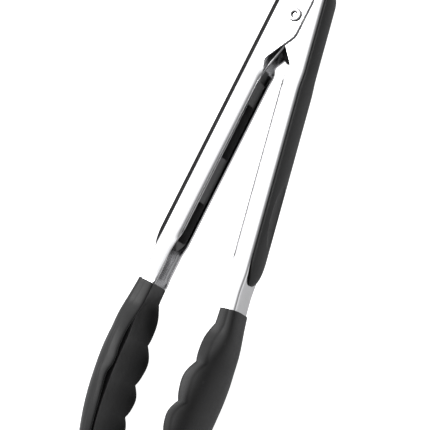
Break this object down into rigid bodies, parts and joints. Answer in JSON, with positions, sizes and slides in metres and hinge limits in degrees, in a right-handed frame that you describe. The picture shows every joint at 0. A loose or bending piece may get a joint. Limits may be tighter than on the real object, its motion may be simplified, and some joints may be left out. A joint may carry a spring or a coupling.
{
  "type": "spring loaded kitchen tongs",
  "caption": "Spring loaded kitchen tongs with steel channel arms, soft grips, scalloped soft heads and a pull-tab lock with a hanging hole.",
  "frame": {"origin": "bottom centre of the bounding box: the tongs lie on their side and stand open", "axes": "+Z along the pivot axis, +Y from the heads to the hinge end, +X towards the right arm"},
  "size_m": [0.0594, 0.2668, 0.0376],
  "materials": {
    "steel": "bright satin stainless sheet",
    "rivet": "bright stainless",
    "spring_wire": "drawn spring wire",
    "soft_grip": "matt soft grip",
    "hard_plastic": "moulded black",
    "head": "matt heat resistant rubber",
    "head_core": "glass filled nylon",
    "slider": "moulded black",
    "tab": "moulded black",
    "washer": "natural nylon"
  },
  "bodies": {
    "left_half": {"left_arm": "steel", "left_grip": "soft_grip", "left_grip_core": "hard_plastic", "left_head": "head", "left_head_core": "head_core", "left_head_rivet_1": "rivet", "left_head_rivet_2": "rivet", "pivot_rivet": "rivet", "near_ear_washer": "washer", "far_ear_washer": "washer", "torsion_spring": "spring_wire"},
    "right_half": {"right_arm": "steel", "right_grip": "soft_grip", "right_grip_core": "hard_plastic", "right_head": "head", "right_head_core": "head_core", "right_head_rivet_1": "rivet", "right_head_rivet_2": "rivet"},
    "bushing": {"spring_bushing": "hard_plastic"},
    "lock": {"lock_slider": "slider", "pull_tab": "tab", "tab_rivet_1": "rivet", "tab_rivet_2": "rivet"}
  },
  "joints": [
    {"name": "arm_hinge", "type": "hinge", "parent": "left_half", "child": "right_half", "pos_m": [0, 0.09412, 0.01882], "axis": [0, 0, -1], "range_deg": [0, 7.2], "stiffness_Nm_per_rad": 0.3, "springref_deg": -34.38, "deforming": ["torsion_spring"]},
    {"name": "bushing_turn", "type": "hinge", "parent": "left_half", "child": "bushing", "pos_m": [0, 0.09412, 0.01882], "axis": [0, 0, -1], "range_deg": [0, 3.7]},
    {"name": "tab_slide", "type": "slide", "parent": "bushing", "child": "lock", "axis": [0, 1, 0], "range_m": [0, 0.008]}
  ],
  "couplings": [
    {"joint": "bushing_turn", "follows": "arm_hinge", "ratio": 0.5}
  ]
}
